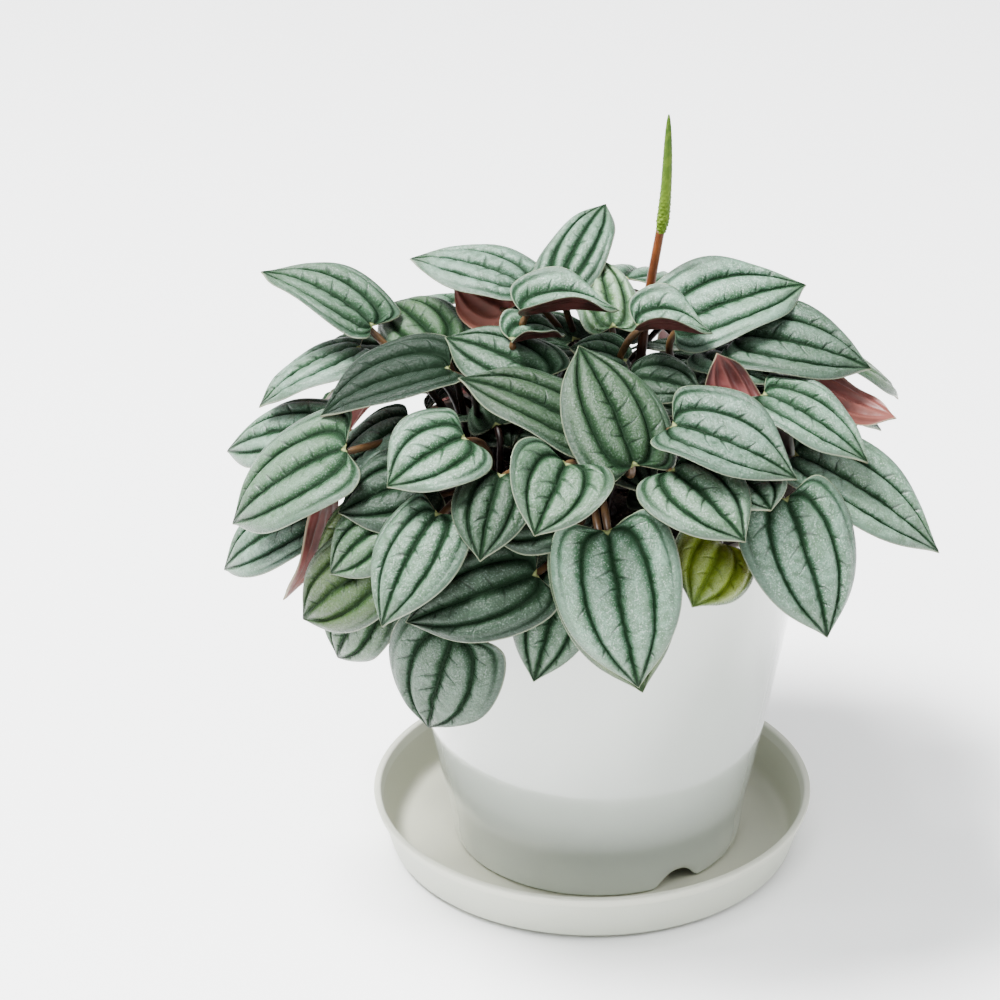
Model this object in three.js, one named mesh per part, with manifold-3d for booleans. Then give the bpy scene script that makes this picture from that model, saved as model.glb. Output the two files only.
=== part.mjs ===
// Potted peperomia: a tapered pot standing in its saucer, filled with soil, with nine crowns
// of heart-shaped leaves that shingle over a low dome, and one flower spike.
// Millimetres, +Z up, origin at the middle of the saucer's underside; -Y is the front.
import * as THREE from 'three';
import { mergeVertices } from 'three/addons/utils/BufferGeometryUtils.js';
import Module from 'manifold-3d';

const wasm = await Module();
wasm.setup();

// Clearance between pieces that stand or lie against each other
const GAP = 0.3;

// Saucer
const SAUCER_RIM_R = 67;
const SAUCER_BASE_R = 62;
const SAUCER_H = 17;
const SAUCER_WALL = 2.2;
const SAUCER_FLOOR = 2;
const SAUCER_BAND_H = 2.8;
const SAUCER_STEP = 0.4;

// Pot: its foot is a skirt with three low arches that let the water out into the saucer
const POT_X = 1.3;
const POT_Y = 1.9;
const POT_BASE_Z = SAUCER_FLOOR + GAP;
const POT_BASE_R = 43.3;
const POT_RIM_R = 65;
const POT_RIM_Z = 124;
const POT_WALL = 2.4;
const POT_BULGE = 0.9;
const POT_LIP_H = 2.4;
const POT_LIP_OUT = 0.7;
const POT_CORNER_R = 3;
const FOOT_H = 7;
const POT_FLOOR = 2.6;
const FOOT_ARCHES = 3;
const FOOT_ARCH_W = 15;
const FOOT_ARCH_H = 5.5;
const FOOT_ARCH_TURN = -55;
const DRAIN_R = 4;
const DRAIN_AT_R = 30;

// Soil, 12 mm below the rim and a little higher in the middle
const SOIL_Z = 111;
const SOIL_RISE = 2;

// The dome that the leaves shingle over
const DOME_X = 1;
const DOME_Y = 2;
const DOME_Z = 118;
const DOME_RX = 106;
const DOME_RY = 97;
const DOME_RZ = 68;
// How far a blade's own plane is pulled from the dome's towards the level
const LEVEL_PULL = 0.2;

// Leaf blade and its stalk
const BLADE_T = 0.8;
const LOBE_BACK = 0.72;
const BLADE_ROWS = [0, 0.12, 0.3, 0.5, 0.72, 0.9, 1];
const BLADE_COLS = [-1, -0.5, 0, 0.5, 1];
const STALK_R = 1.15;
const STALK_STEPS = 4;
const STALK_SIDES = 4;
// The stalk's end lies this far along the blade and below its middle, and its bend is at least so high
const STALK_IN = 0.07;
const STALK_BELOW = 0.7;
const STALK_LEAST_RISE = 34;
const STALK_FOOT_R = 2.6;
const STALK_FOOT_SUNK = 3;

// Crowns: a short stem in a plain hole in the soil, from which the leaf stalks rise
const STEM_R = 5.5;
const STEM_DEPTH = 8;
const STEM_UP = 5;
const ROUND_SIDES = 16;
const STEM_SIDES = 9;
const TURNED_SIDES = 44;

// Where each crown stands in the soil
const CROWNS = {
  crown_left: [-34, 0],
  crown_front_left: [-26, -30],
  crown_front: [2, -40],
  crown_front_right: [30, -28],
  crown_right: [38, 8],
  crown_middle: [2, -8],
  crown_back: [2, 26],
  crown_back_left: [-30, 34],
  crown_back_right: [32, 36],
};

// Leaves seen from the front, by crown: where the stalk meets the blade, where the tip is,
// the width, the turn about the midrib in degrees, the cup (up if positive) and the arch.
const LEAVES = {
  crown_left: [
    [[-63, -6, 171], [-97, 12, 180], 29, 12, 0.2, 0.08],
    [[-44, -7, 166], [-60, 18, 168], 26, 0, -0.12, 0.08],
    [[-39, -37, 172], [-75, -44, 160], 36, 10, 0.2, 0.08],
    [[-67, -3, 163], [-96, -13, 148], 30, 0, -0.1, 0.08],
    [[-75, -23, 146], [-107, -5, 130], 26, 0, -0.1, 0.08],
    [[-67, -54, 155], [-101, -44, 126], 35, 0, 0, 0.08],
    [[-50, -38, 156], [-72, -52, 141], 27, 0, -0.1, 0.08],
  ],
  crown_front_left: [
    [[-78, -42, 128], [-106, -30, 104], 26, 10, 0.1, 0.08],
    [[-73, -49, 136], [-87, -48, 104], 16, -115, -0.1, 0.08],
    [[-62, -61, 136], [-74, -63, 109], 23, 0, -0.1, 0.08],
    [[-57, -71, 129], [-80, -61, 105], 28, 0, -0.1, 0.08],
    [[-55, -67, 139], [-71, -68, 123], 22, 0, -0.1, 0.08],
    [[-40, -77, 147], [-55, -91, 119], 29, 10, -0.15, 0.08],
    [[-60, -65, 115], [-71, -56, 90], 25, 0, -0.1, 0.08],
    [[-33, -65, 164], [-54, -76, 154], 31, 0, 0.05, 0.08],
    [[-43, -61, 149], [-69, -62, 139], 28, 0, -0.1, 0.08],
    [[-36, -84, 113], [-44, -74, 78], 35, 0, -0.1, 0.08],
  ],
  crown_front: [
    [[-23, -73, 157], [-28, -92, 140], 24, 0, -0.1, 0.08],
    [[-5, -82, 165], [-13, -102, 153], 29, -12, 0.45, 0.08],
    [[6, -86, 147], [15, -101, 107], 36, 8, -0.15, 0.08],
    [[4, -83, 143], [16, -93, 101], 34, 0, -0.1, 0.08],
    [[-5, -79, 133], [-14, -88, 101], 25, 0, -0.1, 0.08],
    [[-13, -85, 133], [-49, -86, 118], 28, 0, -0.1, 0.08],
    [[-7, -78, 146], [-27, -81, 143], 19, 0, -0.1, 0.08],
  ],
  crown_front_right: [
    [[23, -64, 168], [57, -72, 156], 35, -12, 0.25, 0.06],
    [[41, -67, 154], [50, -81, 151], 23, 0, -0.1, 0.06],
    [[23, -73, 159], [43, -92, 147], 29, 0, -0.05, 0.06],
    [[37, -73, 137], [29, -90, 126], 25, 0, -0.1, 0.06],
    [[54, -69, 149], [66, -84, 114], 35, 5, -0.1, 0.06],
    [[57, -48, 152], [98, -52, 124], 33, -8, 0.15, 0.06],
  ],
  crown_right: [
    [[23, -16, 176], [61, 4, 181], 34, 10, 0.25, 0.06],
    [[41, -17, 174], [79, -21, 166], 34, 10, 0.1, 0.06],
    [[34, -18, 170], [53, -33, 166], 25, 0, -0.1, 0.06],
    [[43, -47, 164], [35, -40, 179], 18, 175, 0.1, 0.06],
    [[48, -41, 167], [77, -55, 153], 28, -5, 0.1, 0.06],
    [[62, -24, 164], [86, -30, 155], 19, 188, 0.1, 0.06],
    [[54, 4, 152], [84, 2, 136], 30, 0, -0.1, 0.08],
  ],
  crown_middle: [
    [[1, -60, 163], [-36, -50, 175], 29, 14, 0.1, 0.06],
    [[13, -73, 160], [-3, -45, 183], 31, 8, -0.1, 0.06],
    [[-12, -41, 171], [-41, -27, 177], 27, 0, -0.1, 0.06],
    [[11, -39, 170], [31, -47, 170], 25, 0, 0, 0.06],
    [[10, -29, 171], [-6, -29, 175], 20, 0, 0, 0.06],
    [[13, -34, 184], [34, -31, 181], 25, -12, 0.65, 0.04],
    [[-19, -30, 186], [8, -25, 185], 26, -12, 0.65, 0.04],
    [[-22, -35, 180], [-7, -29, 179], 19, -12, 0.6, 0.04],
  ],
  crown_back: [
    [[-9, -2, 184], [3, 30, 195], 21, 0, -0.1, 0.06],
    [[-20, 0, 182], [-54, 18, 182], 30, 0, 0, 0.06],
    [[-25, -4, 175], [-41, 12, 178], 19, 150, -0.1, 0.08],
    [[6, -14, 175], [1, 8, 187], 19, 0, -0.1, 0.06],
  ],
  crown_back_left: [
    [[-57, 12, 155], [-80, 6, 157], 22, -15, -0.1, 0.08],
    [[-50, 22, 148], [-82, 20, 132], 30, 0, -0.1, 0.08],
  ],
};

// The side away from the front is filled by rows of leaves: how far down the dome from its top
// the stalk ends and the tip lies, in degrees, and between which bearings the row runs.
const BACK_ROWS = [
  { leaves: 4, from: 48, to: 146, stalkAt: 37, tipAt: 61, width: 30 },
  { leaves: 7, from: 24, to: 154, stalkAt: 54, tipAt: 81, width: 30 },
  { leaves: 6, from: 42, to: 170, stalkAt: 74, tipAt: 101, width: 31 },
];
const BACK_STALK_DEPTH = 0.83;
const BACK_TIP_REACH = 0.94;
const BACK_SPREAD = 4;
const BACK_SEED = 7;
const BACK_CROWNS = [
  { below: 60, crown: 'crown_back_right' },
  { below: 118, crown: 'crown_back' },
  { below: 181, crown: 'crown_back_left' },
];

// Flower spike: a stalk that leans a little to the right and a tapering green spadix
const SPIKE_ROUTE = [[12, 8, 114], [12, 4, 140], [14, 0, 162], [16, 0, 180], [19, 0, 199]];
const SPIKE_STALK_R = 1.5;
const SPADIX_TIP = [21, 0, 234];
const SPADIX_R = 1.9;
const SPADIX_TURNS = 16;

function material(color, roughness) {
  return new THREE.MeshStandardMaterial({ color, roughness, metalness: 0 });
}

const MATERIALS = {
  saucer: material('#d6d4c8', 0.6),
  pot: material('#dfe0dc', 0.2),
  soil: material('#3b2c22', 0.95),
  leaf: material('#8fa898', 0.45),
  spadix: material('#7f9c4f', 0.55),
};

// A closed three.js geometry as a solid, with its shared corners joined
function solid(geometry) {
  const bare = geometry.clone();
  bare.deleteAttribute('normal');
  bare.deleteAttribute('uv');
  const merged = mergeVertices(bare.index ? bare.toNonIndexed() : bare, 1e-4);
  const triangles = [];
  for (let i = 0; i < merged.index.count; i += 3) {
    const [a, b, c] = [0, 1, 2].map((k) => merged.index.getX(i + k));
    if (a !== b && b !== c && c !== a) triangles.push(a, b, c);
  }
  return new wasm.Manifold(new wasm.Mesh({
    numProp: 3,
    vertProperties: new Float32Array(merged.attributes.position.array),
    triVerts: new Uint32Array(triangles),
  }));
}

function meshOf(name, body, look) {
  const cut = body.getMesh();
  const geometry = new THREE.BufferGeometry();
  geometry.setAttribute('position', new THREE.BufferAttribute(cut.vertProperties, 3));
  geometry.setIndex(new THREE.BufferAttribute(cut.triVerts, 1));
  geometry.computeVertexNormals();
  const mesh = new THREE.Mesh(geometry, look);
  mesh.name = name;
  return mesh;
}

// A turned solid from its outline of [radius, height] pairs, standing along Z
function turned(outline, sides) {
  const points = outline.map(([r, z]) => new THREE.Vector2(r, z));
  return new THREE.LatheGeometry(points, sides).rotateX(Math.PI / 2);
}

// Points of a quarter round about (r, z), from one bearing to another in degrees
function arcPoints(r, z, radius, from, to, steps) {
  const points = [];
  for (let i = 0; i <= steps; i += 1) {
    const a = THREE.MathUtils.degToRad(from + ((to - from) * i) / steps);
    points.push([r + radius * Math.cos(a), z + radius * Math.sin(a)]);
  }
  return points;
}

function rod(route, radius, sides, steps) {
  const shape = new THREE.Shape();
  for (let i = 0; i < sides; i += 1) {
    const a = (2 * Math.PI * i) / sides;
    const [x, y] = [radius * Math.cos(a), radius * Math.sin(a)];
    if (i === 0) shape.moveTo(x, y);
    else shape.lineTo(x, y);
  }
  shape.closePath();
  return solid(new THREE.ExtrudeGeometry(shape, { steps, bevelEnabled: false, extrudePath: route }));
}

function saucer() {
  const slope = (SAUCER_RIM_R - SAUCER_BASE_R) / SAUCER_H;
  const outerAt = (z) => SAUCER_BASE_R + slope * z - SAUCER_STEP;
  const bandZ = SAUCER_H - SAUCER_BAND_H;
  const rimHalf = SAUCER_WALL / 2;
  const innerAt = (z) => outerAt(z) + SAUCER_STEP - SAUCER_WALL;
  const outline = [
    [0, 0],
    [SAUCER_BASE_R - 2.2, 0],
    [SAUCER_BASE_R - 0.9, 0.5],
    [outerAt(2.4), 2.4],
    [outerAt(bandZ - 0.5), bandZ - 0.5],
    [outerAt(bandZ) + SAUCER_STEP, bandZ],
    ...arcPoints(SAUCER_RIM_R - rimHalf, SAUCER_H - rimHalf, rimHalf, 0, 180, 4),
    [innerAt(SAUCER_FLOOR + 1.6), SAUCER_FLOOR + 1.6],
    [innerAt(SAUCER_FLOOR) - 1.6, SAUCER_FLOOR],
    [0, SAUCER_FLOOR],
  ];
  return meshOf('saucer', solid(turned(outline, TURNED_SIDES)), MATERIALS.saucer);
}

// Outside radius of the pot at a height: a straight taper with a slight swell halfway
function potRadius(z) {
  const u = (z - POT_BASE_Z) / (POT_RIM_Z - POT_BASE_Z);
  return POT_BASE_R + (POT_RIM_R - POT_BASE_R) * u + POT_BULGE * Math.sin(Math.PI * u);
}

const POT_WALL_STEPS = [0.3, 0.65];
const POT_INSIDE_Z = POT_BASE_Z + FOOT_H + POT_FLOOR;

function pot() {
  const lipZ = POT_RIM_Z - POT_LIP_H;
  const heights = POT_WALL_STEPS.map((u) => POT_BASE_Z + u * (POT_RIM_Z - POT_BASE_Z));
  const outline = [
    [0, POT_BASE_Z + FOOT_H],
    [POT_BASE_R - POT_WALL, POT_BASE_Z + FOOT_H],
    [POT_BASE_R - POT_WALL, POT_BASE_Z],
    [POT_BASE_R - POT_CORNER_R / 2, POT_BASE_Z],
    [POT_BASE_R - POT_CORNER_R / 6, POT_BASE_Z + POT_CORNER_R / 3],
    [potRadius(POT_BASE_Z + POT_CORNER_R), POT_BASE_Z + POT_CORNER_R],
    ...heights.map((z) => [potRadius(z), z]),
    [potRadius(lipZ), lipZ],
    [POT_RIM_R + POT_LIP_OUT / 2, lipZ + 0.4],
    [POT_RIM_R + POT_LIP_OUT / 2, POT_RIM_Z - 0.6],
    [POT_RIM_R - POT_LIP_OUT, POT_RIM_Z],
    [POT_RIM_R - POT_WALL + 0.5, POT_RIM_Z - 0.1],
    [POT_RIM_R - POT_WALL, POT_RIM_Z - 0.8],
    ...heights.reverse().map((z) => [potRadius(z) - POT_WALL, z]),
    [potRadius(POT_INSIDE_Z) - POT_WALL, POT_INSIDE_Z],
    [0, POT_INSIDE_Z],
  ];
  let body = solid(turned(outline, TURNED_SIDES));
  for (let i = 0; i < FOOT_ARCHES; i += 1) {
    const bearing = THREE.MathUtils.degToRad(FOOT_ARCH_TURN + (360 / FOOT_ARCHES) * i);
    body = body.subtract(footArch(bearing)).subtract(drainHole(bearing));
  }
  return meshOf('pot', body.translate(POT_X, POT_Y, 0), MATERIALS.pot);
}

// A low round-topped opening through the foot, cut outwards along a bearing
function footArch(bearing) {
  const half = FOOT_ARCH_W / 2;
  const arch = new THREE.Shape();
  arch.moveTo(-half, -2);
  arch.lineTo(half, -2);
  arch.lineTo(half, 0);
  arch.bezierCurveTo(half * 0.7, 0.6, half * 0.6, FOOT_ARCH_H, 0, FOOT_ARCH_H);
  arch.bezierCurveTo(-half * 0.6, FOOT_ARCH_H, -half * 0.7, 0.6, -half, 0);
  arch.closePath();
  const cutter = new THREE.ExtrudeGeometry(arch, { depth: 16, bevelEnabled: false, curveSegments: 6 });
  cutter.rotateX(Math.PI / 2).rotateZ(Math.PI / 2);
  cutter.translate(POT_BASE_R - 10, 0, POT_BASE_Z).rotateZ(bearing);
  return solid(cutter);
}

function drainHole(bearing) {
  const hole = new THREE.CylinderGeometry(DRAIN_R, DRAIN_R, POT_FLOOR * 4, ROUND_SIDES);
  hole.rotateX(Math.PI / 2);
  hole.translate(DRAIN_AT_R * Math.cos(bearing), DRAIN_AT_R * Math.sin(bearing), POT_INSIDE_Z);
  return solid(hole);
}

function soil() {
  const insideAt = (z) => potRadius(z) - POT_WALL - GAP - 0.2;
  const bottom = POT_INSIDE_Z + GAP;
  const outline = [
    [0, bottom],
    [insideAt(bottom), bottom],
    [insideAt(SOIL_Z / 2), SOIL_Z / 2],
    [insideAt(SOIL_Z), SOIL_Z],
    [insideAt(SOIL_Z) * 0.6, SOIL_Z + SOIL_RISE * 0.7],
    [0, SOIL_Z + SOIL_RISE],
  ];
  let body = solid(turned(outline, TURNED_SIDES)).translate(POT_X, POT_Y, 0);
  for (const [x, y] of [...Object.values(CROWNS), SPIKE_ROUTE[0]]) {
    const deep = STEM_DEPTH + SOIL_RISE + 20;
    const hole = new THREE.CylinderGeometry(STEM_R + GAP, STEM_R + GAP, deep, ROUND_SIDES);
    hole.rotateX(Math.PI / 2).translate(x, y, SOIL_Z - STEM_DEPTH - GAP + deep / 2);
    body = body.subtract(solid(hole));
  }
  return meshOf('soil', body, MATERIALS.soil);
}

// Axes of a blade: x along the midrib, z up out of its upper face, then turned about the midrib
function bladeAxes(stalkEnd, tip, turn) {
  const x = tip.clone().sub(stalkEnd);
  const length = x.length();
  x.normalize();
  const middle = stalkEnd.clone().add(tip).multiplyScalar(0.5);
  const out = new THREE.Vector3(
    (middle.x - DOME_X) / DOME_RX ** 2,
    (middle.y - DOME_Y) / DOME_RY ** 2,
    (middle.z - DOME_Z) / DOME_RZ ** 2,
  ).normalize().multiplyScalar(1 - LEVEL_PULL).add(new THREE.Vector3(0, 0, LEVEL_PULL));
  const z = out.sub(x.clone().multiplyScalar(out.dot(x))).normalize();
  z.applyAxisAngle(x, THREE.MathUtils.degToRad(turn));
  return { x, y: new THREE.Vector3().crossVectors(z, x), z, length };
}

// A heart-shaped blade. Row s runs from the stalk end (0) to the tip (1) along curves that leave
// the stalk end and meet again at the tip, as the veins do; t runs across from edge to edge.
function bladePoint(s, t, leaf, axes) {
  const half = (leaf.width / 2) * Math.sin(Math.PI * s) ** 0.62 * (1 - 0.75 * s ** 5);
  const edge = s - LOBE_BACK * Math.sin(Math.PI * s) * (1 - s) ** 2;
  const along = (1 - Math.abs(t)) * s + Math.abs(t) * edge;
  const across = t * half;
  const rise = leaf.arch * 4 * axes.length * Math.max(along, 0) * (1 - along)
    + (leaf.cup * across ** 2) / (leaf.width / 2);
  return leaf.stalkEnd.clone()
    .addScaledVector(axes.x, along * axes.length)
    .addScaledVector(axes.y, across)
    .addScaledVector(axes.z, rise);
}

// Both faces of a blade and the wall round its edge, with the triangles alike on both faces
function blade(leaf, axes) {
  const rows = BLADE_ROWS.length;
  const cols = BLADE_COLS.length;
  const corners = [];
  for (const side of [0.5, -0.5]) {
    for (const s of BLADE_ROWS) {
      for (const t of BLADE_COLS) {
        corners.push(...bladePoint(s, t, leaf, axes).addScaledVector(axes.z, side * BLADE_T).toArray());
      }
    }
  }
  const at = (face, i, j) => face * rows * cols + i * cols + j;
  const index = [];
  for (let i = 0; i < rows - 1; i += 1) {
    for (let j = 0; j < cols - 1; j += 1) {
      const [a, b, c, d] = [at(0, i, j), at(0, i + 1, j), at(0, i + 1, j + 1), at(0, i, j + 1)];
      const below = rows * cols;
      index.push(a, b, c, a, c, d);
      index.push(a + below, c + below, b + below, a + below, d + below, c + below);
    }
    for (const j of [0, cols - 1]) {
      const [a, b, c, d] = [at(0, i, j), at(0, i + 1, j), at(1, i + 1, j), at(1, i, j)];
      if (j === 0) index.push(a, d, c, a, c, b);
      else index.push(a, b, c, a, c, d);
    }
  }
  const geometry = new THREE.BufferGeometry();
  geometry.setAttribute('position', new THREE.Float32BufferAttribute(corners, 3));
  geometry.setIndex(index);
  return solid(geometry);
}

// The leaf stalk climbs from the crown and comes up to the blade from behind and below
function leafStalk(leaf, axes, middle) {
  const end = bladePoint(STALK_IN, 0, leaf, axes).addScaledVector(axes.z, -STALK_BELOW);
  const before = end.clone().addScaledVector(axes.x, -0.32 * axes.length)
    .addScaledVector(axes.z, -0.22 * axes.length);
  const outwards = new THREE.Vector3(end.x - middle.x, end.y - middle.y, 0).normalize();
  const foot = middle.clone().addScaledVector(outwards, STALK_FOOT_R);
  const up = Math.max(0.55 * (end.z - foot.z), STALK_LEAST_RISE);
  const rise = foot.clone().add(new THREE.Vector3(0, 0, up));
  const route = new THREE.CubicBezierCurve3(foot, rise, before, end);
  return rod(route, STALK_R, STALK_SIDES, STALK_STEPS);
}

function crown(name) {
  const [x, y] = CROWNS[name];
  const height = STEM_DEPTH + STEM_UP;
  const stem = new THREE.CylinderGeometry(STEM_R * 0.9, STEM_R, height, STEM_SIDES);
  stem.rotateX(Math.PI / 2).translate(x, y, SOIL_Z - STEM_DEPTH + height / 2);
  const middle = new THREE.Vector3(x, y, SOIL_Z + STEM_UP - STALK_FOOT_SUNK);
  let body = solid(stem);
  for (const leaf of leavesOf(name)) {
    const axes = bladeAxes(leaf.stalkEnd, leaf.tip, leaf.turn);
    body = body.add(blade(leaf, axes)).add(leafStalk(leaf, axes, middle));
  }
  return meshOf(name, body, MATERIALS.leaf);
}

// Seeded draws between -1 and 1
function draws(seed) {
  let state = seed;
  return () => {
    state = (state * 1664525 + 1013904223) % 4294967296;
    return (2 * state) / 4294967296 - 1;
  };
}

function domePoint(bearing, down, scale) {
  const a = THREE.MathUtils.degToRad(bearing);
  const b = THREE.MathUtils.degToRad(down);
  return new THREE.Vector3(
    DOME_X + DOME_RX * scale * Math.sin(b) * Math.cos(a),
    DOME_Y + DOME_RY * scale * Math.sin(b) * Math.sin(a),
    DOME_Z + DOME_RZ * scale * Math.cos(b),
  );
}

function backLeaves() {
  const draw = draws(BACK_SEED);
  const leaves = [];
  for (const row of BACK_ROWS) {
    for (let i = 0; i < row.leaves; i += 1) {
      const bearing = row.from + ((row.to - row.from) * i) / (row.leaves - 1) + BACK_SPREAD * draw() / 2;
      const swing = BACK_SPREAD * draw();
      leaves.push({
        crown: BACK_CROWNS.find((place) => bearing < place.below).crown,
        stalkEnd: domePoint(bearing, row.stalkAt, BACK_STALK_DEPTH),
        tip: domePoint(bearing + swing, row.tipAt + draw() * 2, BACK_TIP_REACH),
        width: row.width + draw() * 2,
        turn: 4 * draw(),
        cup: -0.08,
        arch: 0.07,
      });
    }
  }
  return leaves;
}

function leavesOf(name) {
  const front = (LEAVES[name] ?? []).map(([stalkEnd, tip, width, turn, cup, arch]) => ({
    stalkEnd: new THREE.Vector3(...stalkEnd),
    tip: new THREE.Vector3(...tip),
    width,
    turn,
    cup,
    arch,
  }));
  return [...front, ...backLeaves().filter((leaf) => leaf.crown === name)];
}

// The spadix is a slim cone whose rounded bumps run round it in rings
function flowerSpike() {
  const route = new THREE.CatmullRomCurve3(SPIKE_ROUTE.map((p) => new THREE.Vector3(...p)));
  const foot = new THREE.Vector3(...SPIKE_ROUTE.at(-1));
  const tip = new THREE.Vector3(...SPADIX_TIP);
  const length = foot.distanceTo(tip) + 1;
  const outline = [[0, -1]];
  for (let i = 0; i <= SPADIX_TURNS; i += 1) {
    const u = i / SPADIX_TURNS;
    const swell = SPADIX_R * (0.62 + 0.38 * Math.sin(Math.PI * Math.min(1, u * 1.25))) * (1 - u ** 5);
    const bump = i % 2 ? 1 : 0.9;
    outline.push([Math.max(swell * bump, 0.01), -1 + 0.3 + u * (length - 0.3)]);
  }
  outline[outline.length - 1][0] = 0;
  const cone = turned(outline, 8);
  const up = new THREE.Vector3(0, 0, 1);
  const lean = new THREE.Quaternion().setFromUnitVectors(up, tip.clone().sub(foot).normalize());
  cone.applyQuaternion(lean).translate(...foot.toArray());
  const stem = new THREE.CylinderGeometry(STEM_R * 0.5, STEM_R * 0.7, STEM_DEPTH + STEM_UP, STEM_SIDES);
  stem.rotateX(Math.PI / 2);
  stem.translate(SPIKE_ROUTE[0][0], SPIKE_ROUTE[0][1], SOIL_Z - STEM_DEPTH + (STEM_DEPTH + STEM_UP) / 2);
  const stalk = rod(route, SPIKE_STALK_R, 8, 14);
  return meshOf('flower_spike', stalk.add(solid(stem)).add(solid(cone)), MATERIALS.spadix);
}

const plant = new THREE.Group();
for (const name of Object.keys(CROWNS)) plant.add(crown(name));
plant.add(flowerSpike());

const pottedPeperomia = new THREE.Group();
pottedPeperomia.name = 'potted_peperomia';
pottedPeperomia.add(saucer(), pot(), soil(), plant);

export default pottedPeperomia;
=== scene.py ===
# %% [markdown]
# # A potted peperomia
# The object is a low dome of silver leaves in a tapered plastic pot, standing in its saucer. The packed
# solids give every size and place, so this lesson loads them and then dresses each one: smooth turned
# shells for pot and saucer, crumbly soil, and leaves whose veins are sunk into puffed, silvery skin.

# %% Load the frame
import math
from types import SimpleNamespace

import bpy
import numpy as np
from mathutils import Matrix, Vector


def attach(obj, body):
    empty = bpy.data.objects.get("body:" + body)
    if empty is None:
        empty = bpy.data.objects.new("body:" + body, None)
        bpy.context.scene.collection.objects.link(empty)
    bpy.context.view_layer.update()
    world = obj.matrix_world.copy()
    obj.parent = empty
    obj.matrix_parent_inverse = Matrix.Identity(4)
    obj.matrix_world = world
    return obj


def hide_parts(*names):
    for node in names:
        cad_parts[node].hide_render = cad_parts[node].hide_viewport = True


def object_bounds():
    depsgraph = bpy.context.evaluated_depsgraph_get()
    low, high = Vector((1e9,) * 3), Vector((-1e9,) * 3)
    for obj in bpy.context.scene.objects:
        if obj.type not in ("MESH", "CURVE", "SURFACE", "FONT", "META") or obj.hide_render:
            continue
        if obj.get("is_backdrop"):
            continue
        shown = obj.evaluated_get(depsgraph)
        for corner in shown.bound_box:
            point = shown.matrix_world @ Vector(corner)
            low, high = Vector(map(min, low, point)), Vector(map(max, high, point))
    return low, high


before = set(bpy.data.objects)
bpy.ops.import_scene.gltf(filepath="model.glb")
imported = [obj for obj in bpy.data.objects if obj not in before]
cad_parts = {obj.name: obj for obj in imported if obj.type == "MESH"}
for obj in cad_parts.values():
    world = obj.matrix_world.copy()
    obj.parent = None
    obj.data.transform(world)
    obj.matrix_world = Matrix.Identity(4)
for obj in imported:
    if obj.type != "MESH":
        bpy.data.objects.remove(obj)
solid_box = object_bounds()
MM = 0.001
print("solids loaded:", len(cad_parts))

# %% [markdown]
# Every piece below is a surface worked out as whole arrays. This helper takes points and faces, makes the
# object, and lays a named map or a number per point on it, so that materials can follow the surface.

# %% Mesh helpers
def put(name, data):
    """A new object in the scene."""
    made = bpy.data.objects.new(name, data)
    bpy.context.scene.collection.objects.link(made)
    return made


def everyday(red, green, blue):
    """A colour on the everyday 0 to 255 scale as the light values that shaders use."""
    share = np.array([red, green, blue]) / 255
    return tuple(np.where(share < 0.04045, share / 12.92, ((share + 0.055) / 1.055) ** 2.4).tolist())


def skin(rows, material=0, st=None, numbers=None):
    """A closed skin through rings of points, in mm. The first and the last ring are one point each, the
    poles. st holds the place along and across a blade; numbers hold more values for each ring point."""
    around = rows.shape[1]
    count = (len(rows) - 2) * around

    def flat(values):
        between = values[1:-1].reshape(count, -1).squeeze()
        return np.concatenate([values[:1, 0], between, values[-1:, 0]])

    grid = np.arange(1, count + 1).reshape(-1, around)
    grid = np.concatenate([np.zeros((1, around), int), grid, np.full((1, around), count + 1)])
    beside = np.roll(grid, -1, axis=1)
    quads = np.stack([grid[:-1], grid[1:], beside[1:], beside[:-1]], axis=-1)
    mark = np.broadcast_to(material, quads.shape[:2])
    part = dict(points=flat(rows), quads=quads[1:-1].reshape(-1, 4), numbers={})
    part["ends"] = np.concatenate([quads[0][:, [0, 1, 2]], quads[-1][:, [0, 1, 3]]])
    part["marks"] = np.concatenate([mark[1:-1].ravel(), mark[0], mark[-1]])
    part["st"] = np.zeros((count + 2, 2))
    if st is not None:
        part["st"] = np.stack([flat(st[0]), flat(st[1]) / 2 + 0.5], axis=-1)
        part["st"][[0, -1], 1] = 0.5
    for key, values in (numbers or {}).items():
        part["numbers"][key] = flat(values)
    return part


def make_piece(name, materials, parts):
    """Joins closed skins into one smooth mesh object, with a map "blade" and named numbers per point."""
    sizes = np.array([len(part["points"]) for part in parts])
    starts = np.concatenate([[0], np.cumsum(sizes)[:-1]])
    points = np.concatenate([part["points"] for part in parts]) * MM
    faces, marks = [], []
    for part, start in zip(parts, starts):
        faces += (part["quads"] + start).tolist() + (part["ends"] + start).tolist()
        marks.append(part["marks"])
    mesh = bpy.data.meshes.new(name)
    mesh.from_pydata(points.tolist(), [], faces)
    mesh.polygons.foreach_set("use_smooth", np.ones(len(mesh.polygons), bool))
    mesh.polygons.foreach_set("material_index", np.concatenate(marks).astype(np.int32))
    for material in materials:
        mesh.materials.append(material)
    keys = sorted({key for part in parts for key in part["numbers"]})
    for key in keys:
        values = [part["numbers"].get(key, np.zeros(size)) for part, size in zip(parts, sizes)]
        attribute = mesh.attributes.new(key, "FLOAT", "POINT")
        attribute.data.foreach_set("value", np.concatenate(values).astype(np.float32))
    if keys:
        corner = np.zeros(len(mesh.loops), np.int32)
        mesh.loops.foreach_get("vertex_index", corner)
        st = np.concatenate([part["st"] for part in parts])[corner].astype(np.float32)
        mesh.uv_layers.new(name="blade").uv.foreach_set("vector", st.ravel())
    mesh.update()
    return put(name, mesh)


def triangles(piece):
    return sum(len(face.vertices) - 2 for face in piece.data.polygons)


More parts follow.
